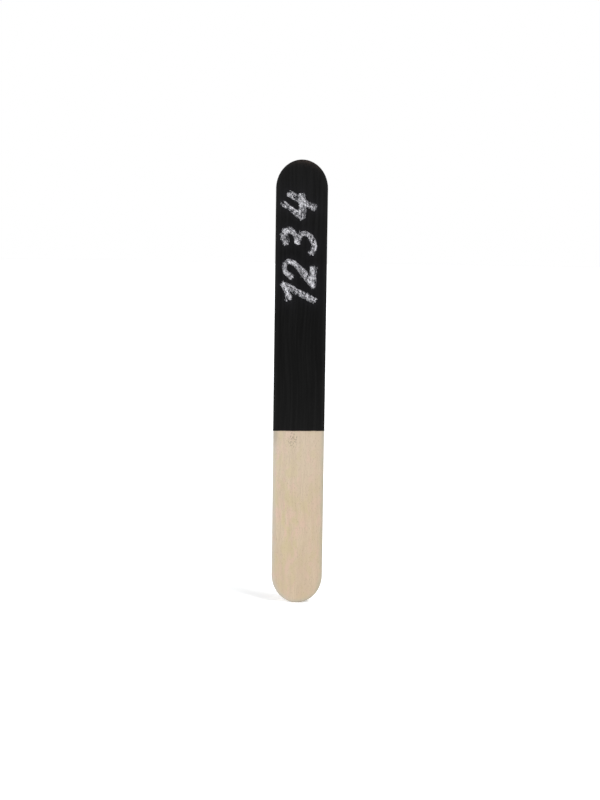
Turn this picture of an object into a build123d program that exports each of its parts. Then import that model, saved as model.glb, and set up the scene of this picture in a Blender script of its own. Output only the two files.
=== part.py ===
"""Plant label stake: a flat birch stick with a chalkboard paint coat over its upper part.

The stake stands on its bare tip. X runs across the stick, Y through its thickness and Z up its
length. The writing face looks towards -Y, and the origin is the lowest point of the tip.
"""

import os
from math import atan2, degrees

from build123d import *

# Birch stick, in millimetres: the stock blank of 6 in by 11/16 in by 1/16 in
STICK_LENGTH = 152.4
STICK_WIDTH = 17.46
STICK_THICKNESS = 1.6
END_RISE = 9.7  # height of the half ellipse that rounds each end
EDGE_ROUND = 0.4  # radius left on every edge by tumbling

# Chalkboard paint coat, in millimetres
BARE_LENGTH = 60.0  # bare wood from the tip up to the paint line
FILM = 0.1  # dried paint on the faces, the edges and the round top
RIDGE_HEIGHT = 0.06  # paint that stood up against the masking tape, above the film
RIDGE_WIDTH = 0.9  # how far the ridge runs up before it fades into the film

# An edge's radius takes up at most this share of the thickness, so that a flat edge is left
ROUND_SHARE = 0.45
edge_round = min(EDGE_ROUND, ROUND_SHARE * STICK_THICKNESS)


def stick_shape(grown):
    """Adds the stick's solid, each face moved outwards by grown, to the part that is being built."""
    half_width = STICK_WIDTH / 2 + grown
    rise = END_RISE + grown
    low_shoulder = END_RISE
    high_shoulder = STICK_LENGTH - END_RISE

    with BuildSketch(Plane.XZ) as outline:
        with BuildLine():
            Line((half_width, low_shoulder), (half_width, high_shoulder))
            EllipticalCenterArc((0, high_shoulder), half_width, rise, 0, arc_size=180)
            Line((-half_width, high_shoulder), (-half_width, low_shoulder))
            EllipticalCenterArc((0, low_shoulder), half_width, rise, 180, arc_size=180)
        make_face()
    extrude(outline.sketch, amount=STICK_THICKNESS / 2 + grown, both=True)
    fillet(faces().filter_by(Axis.Y).edges(), radius=edge_round + grown)


# Wooden stick: one piece of birch veneer, die-cut and tumbled
with BuildPart() as wooden_stick:
    stick_shape(grown=0)

# Chalkboard coat: a film that wraps the upper part of the stick and ends at a masked line
with BuildPart() as chalkboard_coat:
    stick_shape(grown=FILM)
    split(bisect_by=Plane.XY.offset(BARE_LENGTH), keep=Keep.TOP)

    # The ridge has the film's section at its upper end, and stands proud of it at the paint line
    ridge_grown = FILM + RIDGE_HEIGHT
    with BuildSketch(Plane.XY.offset(BARE_LENGTH)):
        RectangleRounded(
            STICK_WIDTH + 2 * ridge_grown,
            STICK_THICKNESS + 2 * ridge_grown,
            edge_round + ridge_grown,
        )
    extrude(amount=RIDGE_WIDTH, taper=degrees(atan2(RIDGE_HEIGHT, RIDGE_WIDTH)))

    # The film's inner wall is the wood itself
    add(wooden_stick.part, mode=Mode.SUBTRACT)

wooden_stick.part.label = "wooden_stick"
chalkboard_coat.part.label = "chalkboard_coat"

os.makedirs("parts", exist_ok=True)
for piece in (wooden_stick.part, chalkboard_coat.part):
    export_step(piece, f"parts/{piece.label}.step")
    print(piece.label, "volume", round(piece.volume, 1), "mm3, size", piece.bounding_box().size)
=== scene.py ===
# %% [markdown]
# # A plant label stake
# The stake is one flat birch stick with round ends. Its upper part is brushed with black chalkboard
# paint down to a taped line, and a number is chalked on the paint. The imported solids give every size.
# This lesson gives the looks: a finer skin for each piece, a finish for each material, a white studio,
# and a camera where the photograph was taken from.

# %% Load the frame
import math

import bmesh
import bpy
import numpy as np
from mathutils import Matrix, Vector


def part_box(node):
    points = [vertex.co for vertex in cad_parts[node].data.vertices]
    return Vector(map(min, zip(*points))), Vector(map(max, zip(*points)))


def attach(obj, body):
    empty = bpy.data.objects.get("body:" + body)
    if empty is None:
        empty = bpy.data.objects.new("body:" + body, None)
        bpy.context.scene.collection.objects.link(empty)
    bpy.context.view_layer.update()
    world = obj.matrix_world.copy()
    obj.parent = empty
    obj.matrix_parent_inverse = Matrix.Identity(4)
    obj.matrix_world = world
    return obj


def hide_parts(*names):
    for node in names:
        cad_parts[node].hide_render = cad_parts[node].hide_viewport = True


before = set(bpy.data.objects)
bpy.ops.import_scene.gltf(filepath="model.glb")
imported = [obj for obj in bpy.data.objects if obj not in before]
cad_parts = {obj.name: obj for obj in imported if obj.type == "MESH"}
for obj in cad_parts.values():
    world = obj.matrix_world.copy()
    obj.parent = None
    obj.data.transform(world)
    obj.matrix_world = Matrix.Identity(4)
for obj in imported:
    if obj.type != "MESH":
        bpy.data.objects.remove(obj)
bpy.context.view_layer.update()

# %% [markdown]
# ## Sizes
# Most sizes are read from the boxes of the two solids, so the skins below fit them by themselves. A box
# can't tell how round an end or an edge is, so those few radii are written here, in metres through the
# factor MM.

# %% Sizes of the stick and its coat
MM = 0.001
_, stick_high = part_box("wooden_stick")
coat_low, coat_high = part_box("chalkboard_coat")

HALF_WIDTH = stick_high.x
HALF_THICK = stick_high.y
LENGTH = stick_high.z
END_RISE = 9.7 * MM  # height of the half ellipse at each end
EDGE_ROUND = 0.4 * MM  # radius that tumbling left on every edge

PAINT_LINE = coat_low.z
FILM = coat_high.z - stick_high.z
RIDGE = coat_high.x - stick_high.x - FILM  # paint that stood up against the tape
RIDGE_WIDTH = 0.9 * MM
LIP = 0.12 * MM  # the paint's own round edge at the line

LOW_SHOULDER = END_RISE
HIGH_SHOULDER = LENGTH - END_RISE
print(f"stick {2 * HALF_WIDTH / MM:.2f} x {2 * HALF_THICK / MM:.2f} x {LENGTH / MM:.1f} mm, painted from")
print(f"{PAINT_LINE / MM:.1f} mm up, film {FILM / MM:.2f} mm, ridge {RIDGE / MM:.2f} mm")

# %% [markdown]
# ## A field of smooth chance
# Wood, brush marks and chalk are uneven, but not like television snow: the unevenness has a size and a
# direction. One function serves them all. It cuts space into boxes, gives each corner a random value and
# blends between corners. Long thin boxes give fibres, small cubes give grit. The seed makes every run the
# same.

# %% Chance that has a size and a direction
TABLE_SIDE = 48  # random values along each side of the table, after which they repeat
ENDLESS = 1.0  # a box's side so long that the chance hardly changes along it
SAMPLE_PLACES = 1000
SAMPLE_BOX = (0.1, 0.1, 0.1)


def uneven(points, box, seed):
    """Smooth random values from -1 to 1 at points, an array whose last axis is x, y, z.

    Each corner of a box has a random value. A point takes the mean of the eight corners round it, weighed
    by the S-curve 3t^2 - 2t^3 of its place t between them along each side.
    """
    table = np.random.default_rng(seed).uniform(-1, 1, (TABLE_SIDE,) * 3)
    place = points / np.array(box)
    corner = np.floor(place).astype(int)
    share = place - corner
    share = share * share * (3 - 2 * share)
    total = np.zeros(points.shape[:-1])
    for step_to in np.ndindex(2, 2, 2):
        weight = np.where(step_to, share, 1 - share).prod(axis=-1)
        x, y, z = np.moveaxis((corner + step_to) % TABLE_SIDE, -1, 0)
        total += weight * table[x, y, z]
    return total


def ease(value, start, end):
    """0 before start, 1 after end, and the S-curve 3t^2 - 2t^3 between them."""
    t = np.clip((value - start) / (end - start), 0, 1)
    return t * t * (3 - 2 * t)


sample = uneven(np.random.default_rng(1).uniform(0, 1, (SAMPLE_PLACES, 3)), SAMPLE_BOX, seed=2)
print(f"uneven: from {sample.min():.2f} to {sample.max():.2f}, mean {sample.mean():.2f}")

# %% [markdown]
# ## The skin of a flat stick
# A tumbled stick is a flat core with a rounded skin: each point of the skin lies at the edge radius from
# the core, so one formula gives faces, edges and corners. Its two parameters are the place along the
# outline and the place over the half section, from the middle of the front round the edge to the middle of
# the back. Where the radius grows, the whole skin moves outwards, and that is what a film of paint does.
# Modelling a box and bevelling it would give the same outline, but no rows to carry grain, brush marks and
# a masked line.

# %% The half section and the outline
FACE_STEPS = 60
CORNER_STEPS = 5
EDGE_STEPS = 4
END_STEPS = 64
ROW_PITCH = 0.7 * MM

over_face = np.linspace(0, 1, FACE_STEPS, endpoint=False)
over_corner = np.linspace(0, math.pi / 2, CORNER_STEPS + 1)
over_edge = np.linspace(-1, 1, EDGE_STEPS + 1)[1:-1]
flat = np.ones_like(over_face)
round_part = np.ones_like(over_corner)
edge_part = np.ones_like(over_edge)

# For each column: the core's reach from its middle, the core's side, and the skin's two directions
CORE_REACH = np.concatenate([over_face, round_part, edge_part, round_part, over_face[::-1]])
CORE_SIDE = np.concatenate([-flat, -round_part, over_edge, round_part, flat])
SKIN_OUT = np.concatenate([0 * flat, np.sin(over_corner), edge_part, np.cos(over_corner), 0 * flat])
SKIN_BACK = np.concatenate([-flat, -np.cos(over_corner), 0 * edge_part, np.sin(over_corner), flat])

IN_FROM_EDGE = (1 - CORE_REACH) * (HALF_WIDTH - EDGE_ROUND)
ON_FRONT = CORE_SIDE < 0


def side_rows(heights, side):
    """Rows along a straight side: the height on the spine, and the outward direction (side, 0)."""
    return np.stack([heights, np.full_like(heights, side), np.zeros_like(heights)])


def end_rows(shoulder, first_turn):
    """Rows that fan round an end: the shoulder's height, and the direction (cos, sin) over half a turn."""
    turn = np.linspace(first_turn, first_turn + math.pi, END_STEPS + 1)[1:-1]
    return np.stack([np.full_like(turn, shoulder), np.cos(turn), np.sin(turn)])


def skin(rows, growth=0.0):
    """Points of the stick's skin, moved outwards by growth, as an array of rows, columns and x, y, z.

    A point is the core's point plus the edge radius and growth along the outward direction. The core is
    the stick less its edge radius on every side, and the outward direction turns from the face to the edge
    over the corner.
    """
    height, out_x, out_z = rows[:, :, None]
    radius = EDGE_ROUND + growth
    x = out_x * ((HALF_WIDTH - EDGE_ROUND) * CORE_REACH + radius * SKIN_OUT)
    y = (HALF_THICK - EDGE_ROUND) * CORE_SIDE + radius * SKIN_BACK
    z = height + out_z * ((END_RISE - EDGE_ROUND) * CORE_REACH + radius * SKIN_OUT)
    return np.stack(np.broadcast_arrays(x, y, z), axis=-1)


print("half section of", len(CORE_REACH), "columns")

# %% [markdown]
# ## From a grid of points to a mesh
# The rows close on themselves, and the first and last columns of the left and right halves meet on the
# spine. Merging doubles there closes the skin. Values worked out with the points, such as how near the edge
# each one is, go along as attributes, which the finishes read later.

# %% Mesh from a closed grid
MERGE_DISTANCE = 0.0001 * MM
EDGE_REACH = 1.0 * MM


def piece_from(name, corners, faces, values):
    """An object from corner points and faces, with one float attribute for each named array in values."""
    mesh = bpy.data.meshes.new(name)
    mesh.from_pydata(corners.tolist(), [], faces.tolist())
    for value_name, array in values.items():
        made = mesh.attributes.new(value_name, "FLOAT", "POINT")
        made.data.foreach_set("value", array.astype(np.float32).ravel())
    work = bmesh.new()
    work.from_mesh(mesh)
    bmesh.ops.remove_doubles(work, verts=work.verts, dist=MERGE_DISTANCE)
    work.to_mesh(mesh)
    open_edges = sum(not edge.is_contiguous for edge in work.edges)
    volume = work.calc_volume(signed=True)
    work.free()
    mesh.shade_smooth()
    piece = bpy.data.objects.new(name, mesh)
    bpy.context.scene.collection.objects.link(piece)
    print(f"{name}: {len(mesh.polygons)} faces, {open_edges} open edges, {volume / MM ** 3:.1f} mm3")
    return piece


def piece_from_grid(name, points, **values):
    """A closed piece from a grid: each face joins two columns of a row to the same two of the next row."""
    here = np.arange(points.shape[0] * points.shape[1]).reshape(points.shape[:2])
    following = np.roll(here, -1, axis=0)
    faces = np.stack([here[:, :-1], here[:, 1:], following[:, 1:], following[:, :-1]], axis=-1)
    return piece_from(name, points.reshape(-1, 3), faces.reshape(-1, 4), values)


def nearness_to_edge(rows):
    """1 on the rounded edges, and falling off over the faces as exp(-distance / EDGE_REACH)."""
    return np.broadcast_to(np.exp(-IN_FROM_EDGE / EDGE_REACH), (rows.shape[1], len(CORE_REACH)))


print(f"points closer than {MERGE_DISTANCE / MM:.4f} mm merge, edges reach {EDGE_REACH / MM:.1f} mm in")

# %% [markdown]
# ## The birch stick
# The stick is sliced from a birch log, cut by a die and tumbled. Its fibres run along it, so its relief is
# made of boxes much longer than they are wide: a few hundredths of a millimetre of broad waviness, and fine
# fibres on top. A little paint got under the tape. It left specks on the front and a grey smear by the left
# edge, which go along as attributes.

# %% Birch stick
# A box of chance has its sides across, through and along the stick
WAVES = (6 * MM, 2 * MM, 30 * MM)
WAVE_HEIGHT = 0.02 * MM
FIBRES = (0.4 * MM, 0.4 * MM, 9 * MM)
FIBRE_HEIGHT = 0.008 * MM

# Each mark of paint: x and z of its middle, and its reach across and along the stick
SPECKLED = (-1.9 * MM, 56.9 * MM, 2.3 * MM, 3.7 * MM)
SMEARED = (-8.2 * MM, 58.3 * MM, 1.1 * MM, 4.0 * MM)


def wood_relief(points):
    """Height of the wood's skin at points, in metres: broad waves plus fine fibres along the stick."""
    return WAVE_HEIGHT * uneven(points, WAVES, seed=11) + FIBRE_HEIGHT * uneven(points, FIBRES, seed=12)


def mark_of_paint(points, x, z, across, along):
    """Strength of a mark at points of the front: exp(-d^2), with d in reaches from the mark's middle."""
    away = ((points[..., 0] - x) / across) ** 2 + ((points[..., 2] - z) / along) ** 2
    return np.where(ON_FRONT, np.exp(-away), 0)


side_steps = round((HIGH_SHOULDER - LOW_SHOULDER) / ROW_PITCH)
side_heights = np.linspace(LOW_SHOULDER, HIGH_SHOULDER, side_steps)
stick_rows = np.concatenate([
    side_rows(side_heights, 1),
    end_rows(HIGH_SHOULDER, 0),
    side_rows(side_heights[::-1], -1),
    end_rows(LOW_SHOULDER, math.pi),
], axis=1)
stick_skin = skin(stick_rows, wood_relief(skin(stick_rows)))
birch_stick = piece_from_grid(
    "birch_stick",
    stick_skin,
    edge=nearness_to_edge(stick_rows),
    speckled=mark_of_paint(stick_skin, *SPECKLED),
    smeared=mark_of_paint(stick_skin, *SMEARED),
)
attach(birch_stick, "root")
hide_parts("wooden_stick")

# %% [markdown]
# ## The number, as strokes of a hand
# The chalked number comes before the paint, because its dust lies on the paint round it. A digit is a few
# strokes, and a stroke is a smooth curve through a few points, in shares of the digit's height. A text
# object would give printed figures. A hand's figures lean and differ in size, and these read up the stick.

# %% Strokes of the digits
DIGIT_STROKES = {
    "1": [
        [(0.0, 0.8), (0.2, 0.87), (0.38, 1.0)],
        [(0.38, 1.0), (0.36, 0.5), (0.35, 0.0)],
    ],
    "2": [
        [(0.04, 0.76), (0.13, 0.95), (0.34, 1.0), (0.53, 0.84), (0.45, 0.55), (0.0, 0.02)],
        [(0.0, 0.02), (0.3, 0.05), (0.62, 0.02)],
    ],
    "3": [
        [(0.04, 0.9), (0.28, 1.0), (0.5, 0.84), (0.41, 0.62), (0.18, 0.55)],
        [(0.18, 0.55), (0.5, 0.46), (0.57, 0.2), (0.32, 0.0), (0.0, 0.1)],
    ],
    "4": [
        [(0.16, 1.0), (0.09, 0.7), (0.0, 0.4)],
        [(0.0, 0.4), (0.34, 0.38), (0.7, 0.41)],
        [(0.54, 0.8), (0.5, 0.4), (0.47, 0.0)],
    ],
}
NUMBER = "1234"
DIGIT_HEIGHT = 10.5 * MM
DIGIT_GAP = 4.5 * MM  # from the end of one digit's strokes to the start of the next
DIGIT_LEAN = 0.42  # sideways for each step upwards
NUMBER_FOOT = 4.7 * MM  # x of the line that the digits stand on
NUMBER_START = 101.0 * MM  # z where the first digit begins
HAND_VARIES = np.array([0.06, 0.08, 0.3 * MM])  # a digit's size, lean and foot, by up to this much
STROKE_STEPS = 24
hand = np.random.default_rng(5)


def hand_curve(points):
    """A smooth curve through points, as an array of places.

    Between two points it is the cubic whose slope at each point is half the way from the point before it to
    the one after. The first and last points get neighbours by mirroring.
    """
    points = np.array(points)
    points = np.concatenate([2 * points[:1] - points[1:2], points, 2 * points[-1:] - points[-2:-1]])
    t = np.linspace(0, 1, STROKE_STEPS, endpoint=False)[:, None, None]
    before, start, end, after = points[:-3], points[1:-2], points[2:-1], points[3:]
    bend = 2 * before - 5 * start + 4 * end - after
    twist = 3 * start - before - 3 * end + after
    spans = start + 0.5 * t * ((end - before) + t * (bend + t * twist))
    return np.concatenate([spans.transpose(1, 0, 2).reshape(-1, 2), points[-2:-1]])


def number_on_face(number):
    """The number's strokes as x and z on the stick: up a digit is -x, and along the number is +z."""
    placed = []
    begin = NUMBER_START
    for digit in number:
        size, lean, foot = hand.uniform(-1, 1, 3) * HAND_VARIES
        height = DIGIT_HEIGHT * (1 + size)
        curves = [hand_curve(points).T for points in DIGIT_STROKES[digit]]
        for along, up in curves:
            x = NUMBER_FOOT + foot - up * height
            z = begin + (along + (DIGIT_LEAN + lean) * up) * height
            placed.append(np.stack([x, z], axis=-1))
        begin += max(along.max() for along, up in curves) * height + DIGIT_GAP
    return placed


strokes = number_on_face(NUMBER)
stroke_low = np.concatenate(strokes).min(axis=0)
stroke_high = np.concatenate(strokes).max(axis=0)
print(len(strokes), "strokes, from", (stroke_low / MM).round(1), "to", (stroke_high / MM).round(1), "mm")


# %% How a place lies by each stroke
def by_strokes(x, z):
    """Distance, offset to one side, reach past an end, and length drawn so far, for each stroke and place.

    They are taken at the stroke's point nearest to the place. The offset is the cross product of the
    stroke's direction and the way to the place, and the reach past an end is their dot product.
    """
    found = []
    drawn = 0.0
    for line in strokes:
        ahead = np.gradient(line, axis=0)
        ahead /= np.hypot(*ahead.T)[:, None]
        lengths = drawn + np.concatenate([[0], np.hypot(*np.diff(line, axis=0).T).cumsum()])
        closest = np.hypot(x[..., None] - line[:, 0], z[..., None] - line[:, 1]).argmin(axis=-1)
        to_x = x - line[closest, 0]
        to_z = z - line[closest, 1]
        offset = ahead[closest, 0] * to_z - ahead[closest, 1] * to_x
        past_end = np.abs(ahead[closest, 0] * to_x + ahead[closest, 1] * to_z)
        found.append([np.hypot(to_x, to_z), offset, past_end, lengths[closest]])
        drawn = lengths[-1]
    return np.array(found).swapaxes(0, 1)


_, _, _, drawn_to_end = by_strokes(*strokes[-1][-1:].T)
print(f"the hand draws {drawn_to_end.max() / MM:.0f} mm of strokes")

# %% [markdown]
# ## The coat of chalkboard paint
# The paint wraps the faces, the edges and the round top. It was brushed along the stick, so its thickness
# has streaks the way the wood has fibres, and the wood's own relief shows through softened. At the bottom
# it stood up against the tape, which left a low ridge and a line that is straight but not ruled. The piece
# is a closed film: an outer skin and an inner one on the wood, which meet where the paint runs out.

# %% Coat of paint
BRUSH = (0.55 * MM, 0.55 * MM, 22 * MM)
BRUSH_HEIGHT = 0.012 * MM
WOOD_SHOWS = 0.5
LINE_BENDS = (1.7 * MM, 3 * MM, ENDLESS)
LINE_BEND = 0.05 * MM
LINE_TILT = 0.011  # upwards for each step to the right
LINE_FADE = 1.5 * MM
# Heights above the line of the rows that shape the lip and the ridge
LIP_ROWS = np.array([0, 0.008, 0.03, 0.06, 0.09, 0.12, 0.2, 0.35, 0.55, 0.75, 0.95]) * MM


def paint_height(points):
    """Height of the paint's skin above the plain wood at points.

    It is the film with brush streaks, plus a ridge that fades upwards by the S-curve, times the quarter
    circle of the lip at the paint line, plus what shows through of the wood's relief.
    """
    above = points[..., 2] - PAINT_LINE
    ridge = RIDGE * (1 - ease(above, 0, RIDGE_WIDTH))
    film = FILM + ridge + BRUSH_HEIGHT * uneven(points, BRUSH, seed=21)
    lip = np.sqrt(1 - (1 - np.clip(above / LIP, 0, 1)) ** 2)
    return lip * film + WOOD_SHOWS * wood_relief(points)


def bend_the_line(points):
    """Moves points near the paint line up or down: a tilt and a random field of x and y, fading upwards."""
    moved = points.copy()
    fade = 1 - ease(points[..., 2] - PAINT_LINE, 0, LINE_FADE)
    level = points * (1, 1, 0)
    moved[..., 2] += fade * (LINE_TILT * points[..., 0] + LINE_BEND * uneven(level, LINE_BENDS, seed=22))
    return moved


coat_steps = round((HIGH_SHOULDER - PAINT_LINE - LIP_ROWS[-1]) / ROW_PITCH)
coat_heights = np.concatenate([
    PAINT_LINE + LIP_ROWS[:-1],
    np.linspace(PAINT_LINE + LIP_ROWS[-1], HIGH_SHOULDER, coat_steps),
])
coat_rows = np.concatenate([
    side_rows(coat_heights, 1),
    end_rows(HIGH_SHOULDER, 0),
    side_rows(coat_heights[::-1], -1),
], axis=1)
on_wood = skin(coat_rows)
outer_skin = bend_the_line(skin(coat_rows, paint_height(on_wood)))
inner_skin = bend_the_line(skin(coat_rows, WOOD_SHOWS * wood_relief(on_wood)))
print(f"coat of {coat_rows.shape[1]} rows, each with an outer and an inner skin")

# %% [markdown]
# ## Dust and rubbing on the coat
# Chalk dust hangs on the paint round the number, and fingers have rubbed the round top, by which the stake
# is pulled out of the soil. Noise in the finish could place both, but it knows nothing of the strokes or of
# the edge. The grid knows both, so each point of the coat gets its values here, and the finish reads them.

# %% Dust and rubbing on the paint
DUST_REACH = 1.8 * MM
RUB_REACH = 2.1 * MM
RUBBED_FROM = 145.0 * MM
RUB_LEFT = -7.0 * MM
RUB_RIGHT = 3.0 * MM
RUB_LEAST = 0.45  # what the left of the top has of the right's rubbing


def dust_of_chalk(points):
    """Chalk dust on the front, falling off from the strokes as exp(-distance / DUST_REACH)."""
    distance, _, _, _ = by_strokes(points[..., 0], points[..., 2])
    return np.where(ON_FRONT, np.exp(-distance.min(axis=0) / DUST_REACH), 0)


def rubbed_top(points):
    """How far fingers have rubbed the round top: most at its edge, and on the right more than the left.

    It is exp(-distance from the edge / RUB_REACH), times S-curves of the height and of x.
    """
    near_edge = np.exp(-IN_FROM_EDGE / RUB_REACH)
    near_top = ease(points[..., 2], RUBBED_FROM, LENGTH)
    to_right = RUB_LEAST + (1 - RUB_LEAST) * ease(points[..., 0], RUB_LEFT, RUB_RIGHT)
    return near_edge * near_top * to_right


def on_outer_only(values):
    """Values on the outer skin, and nothing on the inner one."""
    return np.concatenate([values, 0 * values])


paint_coat = piece_from_grid(
    "paint_coat",
    np.concatenate([outer_skin, inner_skin[::-1]]),
    edge=on_outer_only(nearness_to_edge(coat_rows)),
    dust=on_outer_only(dust_of_chalk(outer_skin)),
    rubbed=on_outer_only(rubbed_top(outer_skin)),
)
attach(paint_coat, "root")
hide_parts("chalkboard_coat")

# %% [markdown]
# ## The chalk itself
# Chalk is a powder that the paint's grit rubs off the stick of chalk. A stroke swells and narrows, is
# heavier on one side, shows lines along its way and grain along the brush marks under it, and fades out at
# its ends. A texture could draw that, but the powder is really there: it has a thickness and an edge. So the
# chalk is a thin layer over a fine grid on the face, kept only where a field of pressure and grain is above
# zero.

# %% Pressure of the chalk
CHALK_PITCH = 0.09 * MM
CHALK_MARGIN = 2.0 * MM
STROKE_HALF = 1.2 * MM  # from the middle of a stroke to its side
SWELL_LENGTH = 4.0 * MM
SWELL = 0.22  # share by which a stroke swells and narrows
SIDE_FADE = (0.5, 1.25)  # shares of the half width between which a side fades out
END_FADE = (0.0, 0.9 * MM)  # how far past its last point a stroke goes on
FRAY = 0.32 * MM
FRAY_WIDTH = 0.32 * MM

low_x, low_z = stroke_low - CHALK_MARGIN
high_x, high_z = stroke_high + CHALK_MARGIN
grid_x, grid_z = np.meshgrid(
    np.arange(low_x, high_x, CHALK_PITCH),
    np.arange(low_z, high_z, CHALK_PITCH),
    indexing="ij",
)


def chance_on_stroke(across, along, width, length, seed):
    """Smooth chance in a stroke's own directions, with boxes of width across it and length along it."""
    return uneven(np.stack([across, 0 * across, along], axis=-1), (width, ENDLESS, length), seed)


_, offset, past_end, travelled = by_strokes(grid_x, grid_z)
half = STROKE_HALF * (1 + SWELL * chance_on_stroke(0 * offset, travelled, ENDLESS, SWELL_LENGTH, seed=31))
frayed = past_end + FRAY * chance_on_stroke(offset, travelled, FRAY_WIDTH, ENDLESS, seed=35)
body = (1 - ease(np.abs(offset) / half, *SIDE_FADE)) * (1 - ease(frayed, *END_FADE))

# Where strokes meet, the one that presses hardest counts
hardest = body.argmax(axis=0)[None]
body, offset, travelled, half = (
    np.take_along_axis(values, hardest, axis=0)[0] for values in (body, offset, travelled, half)
)
print(f"chalk grid of {grid_x.shape}, touched {np.mean(body > 0):.0%}")

# %% Field of chalk
PRESSURE = 0.95
LEANS_LENGTH = 6.0 * MM
LEANS = 0.3  # how much heavier one side of a stroke can be
LINES = (0.3 * MM, 2.6 * MM)
LINE_SWING = 0.27
GRIT = (0.3 * MM, ENDLESS, 0.5 * MM)
GRIT_SWING = 0.46
PATCHES = (0.8 * MM, ENDLESS, 1.1 * MM)
PATCH_SWING = 0.44
LOOSE_GRIT = 0.25  # share of the grain that is still at work outside a stroke
BARE_BELOW = 0.24  # pressure that leaves no chalk on an even face

face_points = np.stack([grid_x, np.full_like(grid_x, -HALF_THICK), grid_z], axis=-1)
leaning = LEANS * offset / half * chance_on_stroke(0 * offset, travelled, ENDLESS, LEANS_LENGTH, seed=36)
lines = LINE_SWING * chance_on_stroke(offset, travelled, *LINES, seed=34)
grain = GRIT_SWING * uneven(face_points, GRIT, seed=32) + PATCH_SWING * uneven(face_points, PATCHES, seed=33)
field = body * (PRESSURE + leaning + lines) + grain * (LOOSE_GRIT + (1 - LOOSE_GRIT) * body) - BARE_BELOW
print(f"chalk covers {np.mean(field > 0):.0%} of the grid")

# %% [markdown]
# ## The chalk as a closed layer
# Each cell of the grid whose four corners have chalk becomes a face on top and one underneath, and upright
# faces close the rim. Cutting every cell along the exact edge would need a case for each way that an edge
# can cross it. Here whole cells stay, and the corners on the rim slide onto the line where the field is
# zero, so the edge doesn't look like stairs. Two cells that meet at a corner only would leave four faces on
# one upright edge, so one of them goes.

# %% Layer of chalk
CHALK_THICK = 0.06 * MM
CHALK_SUNK = 0.012 * MM
MOST_LOAD = 1.5
LEAST_SLOPE = 1e-6  # so that nothing is divided by zero where the field is flat


def corners_of(grid):
    """The grid's values at the low left, low right, high left and high right of each square of four."""
    return grid[:-1, :-1], grid[1:, :-1], grid[:-1, 1:], grid[1:, 1:]


def part_at_corners(cells):
    """Drops a cell wherever two of them meet at a corner only, until none do."""
    cells = cells.copy()
    touching = True
    while np.any(touching):
        low_left, low_right, high_left, high_right = corners_of(cells)
        rising = low_left & high_right & ~low_right & ~high_left
        falling = low_right & high_left & ~low_left & ~high_right
        low_left &= ~rising
        low_right &= ~falling
        touching = rising | falling
    return cells


kept = part_at_corners(np.all([corner > 0 for corner in corners_of(field)], axis=0))
padded = np.pad(kept, 1)
around = np.stack(corners_of(padded))
on_rim = around.any(axis=0) & ~around.all(axis=0)

slope_x, slope_z = np.gradient(field, CHALK_PITCH)
steepness = np.maximum(np.hypot(slope_x, slope_z), LEAST_SLOPE)
slide = np.where(on_rim, np.clip(field / steepness, 0, CHALK_PITCH / 2), 0)
slid_x = grid_x - slide * slope_x / steepness
slid_z = grid_z - slide * slope_z / steepness

load = np.where(on_rim, 0, np.clip(field, 0, MOST_LOAD))
face_y = -(HALF_THICK + paint_height(face_points))
top = np.stack([slid_x, face_y - CHALK_THICK * np.sqrt(load), slid_z], axis=-1)
bottom = np.stack([slid_x, face_y + CHALK_SUNK, slid_z], axis=-1)

here = np.arange(grid_x.size).reshape(grid_x.shape)
under = here + grid_x.size
top_faces = np.stack([here[:-1, :-1], here[1:, :-1], here[1:, 1:], here[:-1, 1:]], axis=-1)[kept]
bottom_faces = top_faces[:, ::-1] + grid_x.size
print(len(top_faces), "cells of chalk,", int(on_rim.sum()), "corners on the rim")

# %% Rim of the chalk layer
left_rim = padded[1:, 1:-1] & ~padded[:-1, 1:-1]
right_rim = padded[:-1, 1:-1] & ~padded[1:, 1:-1]
lower_rim = padded[1:-1, 1:] & ~padded[1:-1, :-1]
upper_rim = padded[1:-1, :-1] & ~padded[1:-1, 1:]


def rim_faces(rim, first, second):
    """Upright faces between the top and the bottom along rim edges that run from first to second."""
    return np.stack([first, second, under.ravel()[second], under.ravel()[first]], axis=-1)[rim]


chalk_faces = np.concatenate([
    top_faces,
    bottom_faces,
    rim_faces(left_rim, here[:, :-1], here[:, 1:]),
    rim_faces(right_rim, here[:, 1:], here[:, :-1]),
    rim_faces(lower_rim, here[1:, :], here[:-1, :]),
    rim_faces(upper_rim, here[:-1, :], here[1:, :]),
])
used, renumbered = np.unique(chalk_faces, return_inverse=True)
chalk_corners = np.concatenate([top.reshape(-1, 3), bottom.reshape(-1, 3)])[used]
chalk_load = np.concatenate([load.ravel(), load.ravel()])[used]
chalk_number = piece_from("chalk_number", chalk_corners, renumbered.reshape(-1, 4), {"load": chalk_load})
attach(chalk_number, "root")

# %% [markdown]
# ## Node helpers
# A finish is a tree of nodes. One helper adds a node and fills or links its inputs, and the others shorten
# the nodes that every tree needs: sums, smooth steps, colours laid over each other, and the places and
# attributes of a piece.

# %% Helpers for node trees
WHOLE = (0.0, 1.0)  # from none to all
MIX_SHARE, MIX_FIRST, MIX_SECOND, MIX_RESULT = 0, 6, 7, 2  # the Mix node's colour sockets go by number


def node(tree, kind, inputs=None, **settings):
    """Adds a node. Inputs pairs a socket's name or number with a value, or with an output to link to it."""
    made = tree.nodes.new(kind)
    for name, value in settings.items():
        setattr(made, name, value)
    for socket, value in (inputs or {}).items():
        if isinstance(value, bpy.types.NodeSocket):
            tree.links.new(value, made.inputs[socket])
        else:
            made.inputs[socket].default_value = value
    return made


def maths(tree, operation, *values):
    """One sum of one or two values."""
    return node(tree, "ShaderNodeMath", dict(enumerate(values)), operation=operation).outputs[0]


def times(tree, first, second):
    """The product of two values."""
    return maths(tree, "MULTIPLY", first, second)


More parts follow.
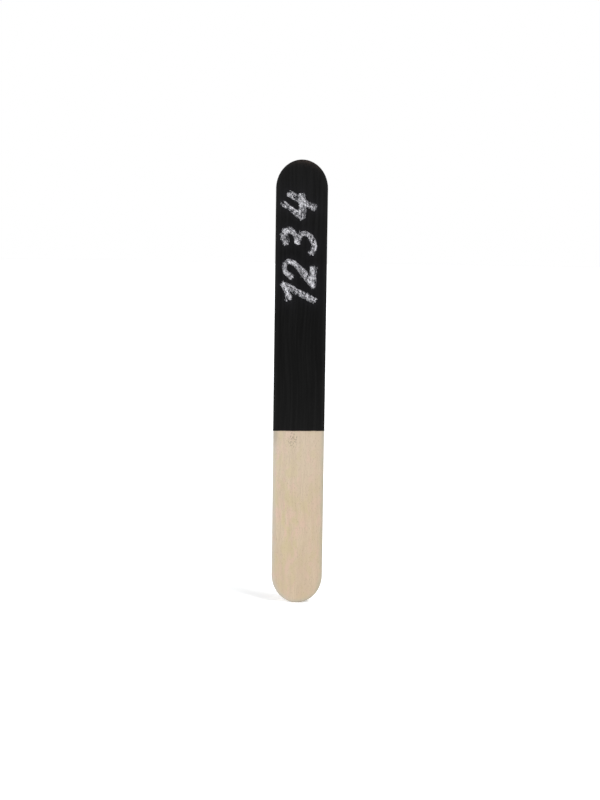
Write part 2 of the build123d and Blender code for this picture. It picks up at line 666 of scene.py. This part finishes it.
def step(tree, value, between, gives=WHOLE):
    """A smooth step of value over the range between, from the first to the second of gives."""
    inputs = {"Value": value, "From Min": between[0], "From Max": between[1]}
    inputs |= {"To Min": gives[0], "To Max": gives[1]}
    return node(tree, "ShaderNodeMapRange", inputs, interpolation_type="SMOOTHSTEP").outputs["Result"]


def mix(tree, share, first, second):
    """The first colour where share is 0 and the second where it is 1."""
    inputs = {MIX_SHARE: share, MIX_FIRST: first, MIX_SECOND: second}
    return node(tree, "ShaderNodeMix", inputs, data_type="RGBA").outputs[MIX_RESULT]


def layered(tree, colour, layers):
    """Lays colours over a first one. Each layer is a share, from 0 to 1, and a colour."""
    for share, laid_over in layers:
        colour = mix(tree, share, colour, laid_over)
    return colour


def place_on_piece(tree):
    """The place on the piece, in metres."""
    return node(tree, "ShaderNodeTexCoord").outputs["Object"]


def attribute(tree, name):
    """The value of a piece's attribute."""
    return node(tree, "ShaderNodeAttribute", attribute_name=name).outputs["Fac"]


def grey(level):
    """An even grey."""
    return (level, level, level, 1.0)


helpers = (node, maths, times, step, mix, layered, place_on_piece, attribute, grey)
print("node helpers:", [helper.__name__ for helper in helpers])

# %% [markdown]
# ## Effects that finishes share
# Wood fibres and brush marks are the same pattern at two scales, grit and pores are specks of two shapes,
# and both wood and paint wear along their edges. Each effect is a node group, built once and placed in each
# finish with its own values. The groups read Object coordinates, which are metres here, so a pattern's size
# is a real size.

# %% Group: streaks along the stick
MIDDLE_OF_NOISE = 0.5


def new_group(name, inputs, output):
    """An empty shader group with float sockets, and its input and output nodes."""
    group = bpy.data.node_groups.new(name, "ShaderNodeTree")
    for socket in inputs:
        group.interface.new_socket(socket, in_out="INPUT", socket_type="NodeSocketFloat")
    group.interface.new_socket(output, in_out="OUTPUT", socket_type="NodeSocketFloat")
    print("group", name, "takes", inputs, "and gives", output)
    return group, group.nodes.new("NodeGroupInput").outputs, group.nodes.new("NodeGroupOutput").inputs


def noise(group, place, width, length, detail):
    """Noise whose grains are width across the stick and length along it, in metres."""
    size = node(group, "ShaderNodeCombineXYZ", {"X": width, "Y": width, "Z": length}).outputs[0]
    scaled = node(group, "ShaderNodeVectorMath", {0: place, 1: size}, operation="DIVIDE").outputs[0]
    inputs = {"Vector": scaled, "Scale": 1.0, "Detail": detail}
    return node(group, "ShaderNodeTexNoise", inputs).outputs["Fac"]


def streaks_group():
    """Noise of Width by Length metres, whose lines wander sideways by up to Wander metres."""
    group, given, result = new_group("streaks", ["Width", "Length", "Wander", "Detail"], "Streaks")
    place = place_on_piece(group)
    slow = noise(group, place, given["Length"], given["Length"], detail=0.0)
    swing = times(group, maths(group, "SUBTRACT", slow, MIDDLE_OF_NOISE), given["Wander"])
    aside = node(group, "ShaderNodeCombineXYZ", {"X": swing}).outputs[0]
    moved = node(group, "ShaderNodeVectorMath", {0: place, 1: aside}, operation="ADD").outputs[0]
    lines = noise(group, moved, given["Width"], given["Length"], detail=given["Detail"])
    group.links.new(lines, result["Streaks"])
    return group


def use_group(tree, group, **values):
    """Places a group and sets or links its inputs by name. Gives the group's output."""
    return node(tree, "ShaderNodeGroup", values, node_tree=group).outputs[0]


STREAKS = streaks_group()


# %% Group: specks
SPECK_SOFTNESS = (-0.03, 0.07)


def specks_group():
    """Specks of Size metres, Stretch times as long: noise above a level that sinks as Amount grows to 1."""
    group, given, result = new_group("specks", ["Size", "Stretch", "Amount"], "Specks")
    length = times(group, given["Size"], given["Stretch"])
    grains = noise(group, place_on_piece(group), given["Size"], length, detail=1.0)
    level = maths(group, "SUBTRACT", 1.0, given["Amount"])
    group.links.new(step(group, maths(group, "SUBTRACT", grains, level), SPECK_SOFTNESS), result["Specks"])
    return group


SPECKS = specks_group()


# %% Group: wear along edges
WEAR_STARTS = (0.1, 1.1)
WEAR_DETAIL = 3.0


def edge_wear_group():
    """Wear where Edge is near 1, broken up by noise of Size metres. Amount is how far it reaches."""
    group, given, result = new_group("edge_wear", ["Edge", "Size", "Amount"], "Wear")
    patches = noise(group, place_on_piece(group), given["Size"], given["Size"], detail=WEAR_DETAIL)
    worn = times(group, maths(group, "ADD", patches, given["Amount"]), given["Edge"])
    group.links.new(step(group, worn, WEAR_STARTS), result["Wear"])
    return group


EDGE_WEAR = edge_wear_group()

# %% [markdown]
# ## Finish of the birch
# Birch is pale, with fine fibres, faint bands, tiny brown pores, and patches that are rosier or more ochre.
# The right side, nearer the heart of the log, is browner. The wood is a little greyer up by the paint. Its
# cut edges are greyer too, partly from dust that crushed fibres hold and partly as painted shade on their
# round, and the right edge is darker still, which is painted shade. One wood texture stretched over the
# stick would repeat and smear on the edges, so the finish lays many faint patterns over each other. The
# contrast is low: the photograph's wood varies by a few percent only.

# %% Birch finish
def new_finish(name):
    """A material with a Principled BSDF, and its tree and shader."""
    finish = bpy.data.materials.new(name)
    finish.use_nodes = True
    return finish, finish.node_tree, finish.node_tree.nodes["Principled BSDF"]


BIRCH_PALE = (0.71, 0.59, 0.438, 1.0)
BIRCH_HEART = (0.59, 0.45, 0.318, 1.0)
BIRCH_FIBRE = (0.53, 0.415, 0.29, 1.0)
BIRCH_ROSY = (0.722, 0.535, 0.428, 1.0)
BIRCH_OCHRE = (0.638, 0.538, 0.336, 1.0)
BIRCH_GREY = (0.665, 0.567, 0.456, 1.0)
BIRCH_LOW = (0.618, 0.49, 0.36, 1.0)
BIRCH_PORE = (0.38, 0.27, 0.17, 1.0)
# Edge colours: wear and dust mixed with painted shade, and a darker right edge that is painted shade
BIRCH_EDGE_WEAR_AND_SHADE = (0.555, 0.53, 0.48, 1.0)
SHADED_RIGHT_EDGE = (0.45, 0.435, 0.34, 1.0)
PAINT_SPECK = (0.15, 0.11, 0.085, 1.0)
PAINT_SMEAR = (0.13, 0.12, 0.115, 1.0)

FIBRES_SHOW = (0.36, 0.78)
ROSY_PATCHES = (0.45, 0.62)
OCHRE_PATCHES = (0.46, 0.63)
BANDS_SHOW = (0.42, 0.66)
BAND_SHARE = (0.0, 0.42)
HEART_SHARE = 0.42
GREY_FROM = (25.0 * MM, 60.0 * MM)
GREY_SHARE = (0.0, 0.4)
LOW_FROM = (0.0, 35.0 * MM)
LOW_SHARE = (0.4, 0.0)
PORE_SHARE = 0.5
EDGE_WEAR_AND_SHADE_SHARE = 0.7
SPECKS_AMOUNT = (0.2, 0.45)
SPECK_SHARE = 0.55
SMEAR_SHARE = 0.26
BIRCH_ROUGHNESS = (0.62, 0.74)
BIRCH_SPECULAR = 0.25
PORE_DEPTH = 0.8
BIRCH_BUMP = 0.02 * MM
BUMP_STRENGTH = 0.6


def place_along(tree, axis):
    """The place along the axis X, Y or Z, in metres."""
    return node(tree, "ShaderNodeSeparateXYZ", {0: place_on_piece(tree)}).outputs[axis]


def fill_shader(tree, shader, colour, roughness, specular, relief, distance):
    """Links colour, roughness and relief, where relief 1 stands distance metres above relief 0."""
    tree.links.new(colour, shader.inputs["Base Color"])
    tree.links.new(roughness, shader.inputs["Roughness"])
    shader.inputs["Specular IOR Level"].default_value = specular
    bump = node(tree, "ShaderNodeBump", {"Height": relief, "Distance": distance, "Strength": BUMP_STRENGTH})
    tree.links.new(bump.outputs["Normal"], shader.inputs["Normal"])


def birch_finish():
    """Fibres on pale wood, then patches, bands, heart, grey top, brown tip, pores, edges with wear and
    painted shade, and paint marks.
    """
    finish, tree, shader = new_finish("birch_wood")
    fine = use_group(tree, STREAKS, Width=0.26 * MM, Length=6 * MM, Wander=2.0 * MM, Detail=4.0)
    rosy = use_group(tree, STREAKS, Width=1.9 * MM, Length=5 * MM, Wander=3.0 * MM, Detail=5.0)
    ochre = use_group(tree, STREAKS, Width=2.3 * MM, Length=6 * MM, Wander=4.0 * MM, Detail=5.0)
    bands = use_group(tree, STREAKS, Width=1.1 * MM, Length=18 * MM, Wander=3.0 * MM, Detail=5.0)
    pores = use_group(tree, SPECKS, Size=0.13 * MM, Stretch=6.0, Amount=0.36)
    # Mask of the edges, which carries wear and dust and also painted shade
    worn = use_group(tree, EDGE_WEAR, Edge=attribute(tree, "edge"), Size=2.5 * MM, Amount=0.35)
    near = step(tree, attribute(tree, "speckled"), WHOLE, SPECKS_AMOUNT)
    specks = use_group(tree, SPECKS, Size=0.34 * MM, Stretch=1.4, Amount=near)
    heart = step(tree, place_along(tree, "X"), (-HALF_WIDTH, HALF_WIDTH))
    height = place_along(tree, "Z")

    colour = layered(tree, BIRCH_PALE, [
        (step(tree, fine, FIBRES_SHOW), BIRCH_FIBRE),
        (step(tree, rosy, ROSY_PATCHES), BIRCH_ROSY),
        (step(tree, ochre, OCHRE_PATCHES), BIRCH_OCHRE),
        (step(tree, bands, BANDS_SHOW, BAND_SHARE), BIRCH_FIBRE),
        (times(tree, heart, HEART_SHARE), BIRCH_HEART),
        (step(tree, height, GREY_FROM, GREY_SHARE), BIRCH_GREY),
        (step(tree, height, LOW_FROM, LOW_SHARE), BIRCH_LOW),
        (times(tree, pores, PORE_SHARE), BIRCH_PORE),
        # Edges: wear and dust plus painted shade, darker towards the right edge as painted shade
        (times(tree, worn, EDGE_WEAR_AND_SHADE_SHARE), mix(tree, heart, BIRCH_EDGE_WEAR_AND_SHADE, SHADED_RIGHT_EDGE)),
        (times(tree, attribute(tree, "smeared"), SMEAR_SHARE), PAINT_SMEAR),
        (times(tree, specks, SPECK_SHARE), PAINT_SPECK),
    ])
    roughness = step(tree, fine, FIBRES_SHOW, BIRCH_ROUGHNESS)
    relief = maths(tree, "SUBTRACT", fine, times(tree, pores, PORE_DEPTH))
    fill_shader(tree, shader, colour, roughness, BIRCH_SPECULAR, relief, BIRCH_BUMP)
    return finish


birch_stick.data.materials.append(birch_finish())
print("birch finish on", birch_stick.name)

# %% [markdown]
# ## Finish of the chalkboard paint
# Chalkboard paint is a dead matt black with fine grit, which is what rubs the chalk off. Brush marks run
# along the stick as streaks of slightly deeper and paler black. The black is deepest half way up and a shade
# paler towards the line and the top. Chalk dust hangs round the number, and handling has rubbed the edges
# and the round top, where some brown wood shows through. One flat black would look like plastic, so the same
# shared patterns as on the wood are used here, at a brush's scale.

# %% Chalkboard paint finish
PAINT_DEEP = grey(0.0032)
PAINT_STREAK = grey(0.0065)
PALER_DEEP = grey(0.0072)
PALER_STREAK = grey(0.0107)
PAINT_EDGE = grey(0.014)
PAINT_WORN = (0.085, 0.0605, 0.049, 1.0)
DUST = (0.08, 0.077, 0.1, 1.0)

STREAKS_SHOW = (0.36, 0.68)
# Height where the black is darkest, and distances from it over which it turns a shade paler
DARKEST_AT = 105.0 * MM
PALER_FROM = (9.0 * MM, 58.0 * MM)
HANDLED_SHARE = 0.7
DUST_SHARE = (0.03, 0.16)
WORN_SHARE = 0.75
HAIRS_SHOW = (0.3, 0.75)
PAINT_ROUGHNESS = (0.72, 0.86)
PAINT_SPECULAR = 0.06
GRIT_HEIGHT = 0.7
PAINT_BUMP = 0.02 * MM


def paint_finish():
    """Brush streaks in black, then paler ends, rubbed edges, chalk dust, and the brown of the worn top."""
    finish, tree, shader = new_finish("chalkboard_paint")
    brush = use_group(tree, STREAKS, Width=0.6 * MM, Length=26 * MM, Wander=2.5 * MM, Detail=3.0)
    hairs = use_group(tree, STREAKS, Width=0.16 * MM, Length=7 * MM, Wander=0.6 * MM, Detail=2.0)
    grit = use_group(tree, SPECKS, Size=0.09 * MM, Stretch=1.0, Amount=0.5)
    dusty = use_group(tree, SPECKS, Size=0.22 * MM, Stretch=1.5, Amount=0.52)
    handled = use_group(tree, EDGE_WEAR, Edge=attribute(tree, "edge"), Size=6.0 * MM, Amount=0.35)
    worn = use_group(tree, EDGE_WEAR, Edge=attribute(tree, "rubbed"), Size=0.9 * MM, Amount=0.0)

    # The black turns a shade paler away from its darkest height
    from_darkest = maths(tree, "ABSOLUTE", maths(tree, "SUBTRACT", place_along(tree, "Z"), DARKEST_AT))
    paler = step(tree, from_darkest, PALER_FROM)
    ground = mix(tree, paler, PAINT_DEEP, PALER_DEEP)
    streak = mix(tree, paler, PAINT_STREAK, PALER_STREAK)
    colour = layered(tree, ground, [
        (step(tree, brush, STREAKS_SHOW), streak),
        (times(tree, handled, HANDLED_SHARE), PAINT_EDGE),
        (times(tree, attribute(tree, "dust"), step(tree, dusty, WHOLE, DUST_SHARE)), DUST),
        (times(tree, worn, WORN_SHARE), PAINT_WORN),
    ])
    roughness = step(tree, hairs, HAIRS_SHOW, PAINT_ROUGHNESS)
    relief = maths(tree, "ADD", times(tree, grit, GRIT_HEIGHT), hairs)
    fill_shader(tree, shader, colour, roughness, PAINT_SPECULAR, relief, PAINT_BUMP)
    return finish


paint_coat.data.materials.append(paint_finish())
print("paint finish on", paint_coat.name)

# %% [markdown]
# ## Finish of the chalk
# Chalk is white everywhere. A stroke looks grey because its grains sit on the tips of the paint's grit,
# with black between them, and a heavier stroke leaves more grains. A plain grey would look like dough from
# near. So the layer's load, kept as an attribute, drives how much of the face the grains cover, in clumps
# that are paler and denser. Chalk has next to no gloss.

# %% Chalk finish
CHALK_WHITE = (0.95, 0.945, 1.0, 1.0)
CHALK_BARE = (0.01, 0.01, 0.0125, 1.0)
LOADED = (0.0, MOST_LOAD)
COVERED = (0.388, 0.649)
CLUMP_SHARE = (0.6, 1.0)
CHALK_ROUGHNESS = (0.9, 1.0)
CHALK_SPECULAR = 0.1
CHALK_BUMP = 0.03 * MM


def chalk_finish():
    """White grains that cover more of the black where the load is greater, in paler and denser clumps."""
    finish, tree, shader = new_finish("chalk_powder")
    covered = step(tree, attribute(tree, "load"), LOADED, COVERED)
    grains = use_group(tree, SPECKS, Size=0.11 * MM, Stretch=1.0, Amount=covered)
    clumps = use_group(tree, SPECKS, Size=0.28 * MM, Stretch=1.0, Amount=0.5)
    share = times(tree, grains, step(tree, clumps, WHOLE, CLUMP_SHARE))
    colour = mix(tree, share, CHALK_BARE, CHALK_WHITE)
    roughness = step(tree, clumps, WHOLE, CHALK_ROUGHNESS)
    fill_shader(tree, shader, colour, roughness, CHALK_SPECULAR, grains, CHALK_BUMP)
    return finish


chalk_number.data.materials.append(chalk_finish())
print("chalk finish on", chalk_number.name)

# %% [markdown]
# ## White studio
# The stake stands on a white table in front of white paper. Stronger lamps would turn the table white, but
# bleach the stake too. So the floor is a pale matt disc that catches the stake's shadow, and to the camera
# alone its colour is lighter, as on a picture whose white point was pulled down: its lit part reaches white
# while the deep shade at the foot stays. It is a touch cool, because the wood throws warm light into its own
# shadow. The world is a soft grey for light and white for the camera, so the stake gets no more light than
# its own colours need.

# %% Floor and world
FLOOR_RADIUS = 4.0  # metres
FLOOR_CORNERS = 96
FLOOR_TONE = grey(0.9)
FLOOR_SEEN = (1.327, 1.345, 1.364, 1.0)
FLOOR_ROUGHNESS = 1.0
FLOOR_SPECULAR = 0.0
WORLD_LIGHT = 0.26
WHITE = 1.0


def seen_directly(tree):
    """1 for rays from the camera, a mirror or glass, and 0 for rays that only carry light."""
    path = node(tree, "ShaderNodeLightPath").outputs
    mirrored = maths(tree, "MAXIMUM", path["Is Glossy Ray"], path["Is Transmission Ray"])
    return maths(tree, "MAXIMUM", path["Is Camera Ray"], mirrored)


turn = np.linspace(0, 2 * math.pi, FLOOR_CORNERS, endpoint=False)
floor_points = np.stack([FLOOR_RADIUS * np.cos(turn), FLOOR_RADIUS * np.sin(turn), 0 * turn], axis=-1)
floor_mesh = bpy.data.meshes.new("floor")
floor_mesh.from_pydata(floor_points.tolist(), [], [list(range(FLOOR_CORNERS))])
floor = bpy.data.objects.new("floor", floor_mesh)
bpy.context.scene.collection.objects.link(floor)

floor_finish, floor_tree, floor_shader = new_finish("floor")
floor_shader.inputs["Roughness"].default_value = FLOOR_ROUGHNESS
floor_shader.inputs["Specular IOR Level"].default_value = FLOOR_SPECULAR
tone = mix(floor_tree, seen_directly(floor_tree), FLOOR_TONE, FLOOR_SEEN)
floor_tree.links.new(tone, floor_shader.inputs["Base Color"])
floor_mesh.materials.append(floor_finish)

world = bpy.data.worlds.new("white_studio")
world.use_nodes = True
bpy.context.scene.world = world
backdrop = world.node_tree.nodes["Background"]
backdrop.inputs["Color"].default_value = grey(WHITE)
brightness = step(world.node_tree, seen_directly(world.node_tree), WHOLE, (WORLD_LIGHT, WHITE))
world.node_tree.links.new(brightness, backdrop.inputs["Strength"])
print("floor disc of", FLOOR_RADIUS, "m, world light", WORLD_LIGHT)

# %% [markdown]
# ## Lamps
# A broad lamp stands low on the left and lights the face. A smaller one, higher up on the right, makes the
# faint sliver of shadow that runs to the left from the foot, and a weak one behind keeps the back from going
# dull. Sun lamps with a wide angle light floor and stake evenly at any distance.

# %% Soft lamps
def soft_lamp(name, strength, size, turn, height):
    """A sun lamp whose light comes from turn degrees right of the camera's side and height degrees up."""
    lamp = bpy.data.objects.new(name, bpy.data.lights.new(name, "SUN"))
    lamp.data.energy = strength
    lamp.data.angle = math.radians(size)
    turn, height = math.radians(turn), math.radians(height)
    level = Vector((math.sin(turn), -math.cos(turn), 0.0))
    to_lamp = math.cos(height) * level + Vector((0.0, 0.0, math.sin(height)))
    lamp.rotation_euler = to_lamp.to_track_quat("Z", "Y").to_euler()
    bpy.context.scene.collection.objects.link(lamp)
    print(name, "shines from", [round(part, 2) for part in to_lamp])


soft_lamp("left_lamp", strength=1.9, size=80, turn=-60, height=20)
soft_lamp("right_lamp", strength=1.48, size=23, turn=45, height=50)
soft_lamp("back_lamp", strength=1.15, size=60, turn=180, height=26)

# %% [markdown]
# ## Camera
# The camera's place comes from fitting the stick's known outline to its edges in the photograph: a long
# lens, six degrees above level, turned by less than a degree. Its axes are written as the columns of its
# matrix, which takes the small turn along without another rotation to undo.

# %% Camera at the photograph's place
LENS = 81.0  # millimetres, on a sensor of 36 mm along the picture's long side
SENSOR = 36.0
CAMERA_AWAY = 618.2 * MM
CAMERA_UP = math.radians(6.0)
CAMERA_ROLL = math.radians(0.81)
CAMERA_AIM = Vector((0.3 * MM, 0.0, 70.6 * MM))
NEAREST_SEEN = 10 * MM

back = Vector((0.0, -math.cos(CAMERA_UP), math.sin(CAMERA_UP)))
level_right = Vector((1.0, 0.0, 0.0))
level_up = back.cross(level_right)
right = math.cos(CAMERA_ROLL) * level_right + math.sin(CAMERA_ROLL) * level_up
up = back.cross(right)

camera = bpy.data.objects.new("camera", bpy.data.cameras.new("camera"))
camera.data.lens = LENS
camera.data.sensor_width = SENSOR
camera.data.clip_start = NEAREST_SEEN
camera.matrix_world = Matrix.LocRotScale(
    CAMERA_AIM + CAMERA_AWAY * back,
    Matrix((right, up, back)).transposed(),
    None,
)
bpy.context.scene.collection.objects.link(camera)
bpy.context.scene.camera = camera
bpy.context.scene.view_settings.view_transform = "Standard"
print("camera at", [round(part, 3) for part in camera.location])
